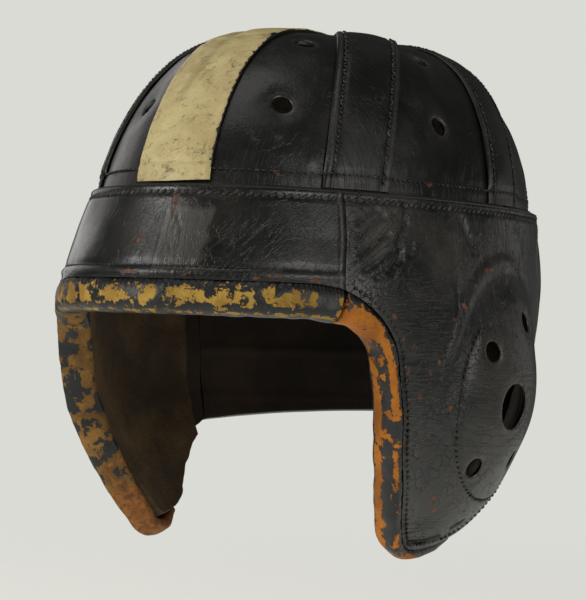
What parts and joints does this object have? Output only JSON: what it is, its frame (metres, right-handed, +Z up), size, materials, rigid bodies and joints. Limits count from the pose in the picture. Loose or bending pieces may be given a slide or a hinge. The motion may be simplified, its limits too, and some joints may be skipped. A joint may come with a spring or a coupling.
{
  "type": "leather football helmet",
  "caption": "Worn leather football helmet: gored crown with straps, brow band with padded roll, domed ear panels with cheek flaps, nape panel.",
  "frame": {"origin": "inside of the crown top, where the wearer's head bears; the helmet is held up there", "axes": "+Z up out of the crown, -Y towards the face, +X towards the wearer's left ear"},
  "size_m": [0.211, 0.271, 0.2246],
  "materials": {
    "black_leather": "painted black, polished by wear, cracked and scuffed",
    "cream_leather": "painted cream, cracked and dirty",
    "worn_leather": "ochre leather with the remains of black paint",
    "lining_leather": "matt brown, soiled"
  },
  "bodies": {
    "root": {"front_gore_left": "black_leather", "front_gore_right": "black_leather", "temple_gore_left": "black_leather", "temple_gore_right": "black_leather", "rear_side_gore_left": "black_leather", "rear_side_gore_right": "black_leather", "rear_gore_left": "black_leather", "rear_gore_right": "black_leather", "centre_strap": "cream_leather", "front_strap_left": "black_leather", "front_strap_right": "black_leather", "cross_strap_left": "black_leather", "cross_strap_right": "black_leather", "rear_strap_left": "black_leather", "rear_strap_right": "black_leather", "brow_band": "black_leather", "brow_roll": "worn_leather", "flap_roll_left": "worn_leather", "flap_roll_right": "worn_leather", "side_panel_left": "black_leather", "side_panel_right": "black_leather", "flap_lining_left": "lining_leather", "flap_lining_right": "lining_leather", "nape_panel": "black_leather"}
  },
  "joints": []
}
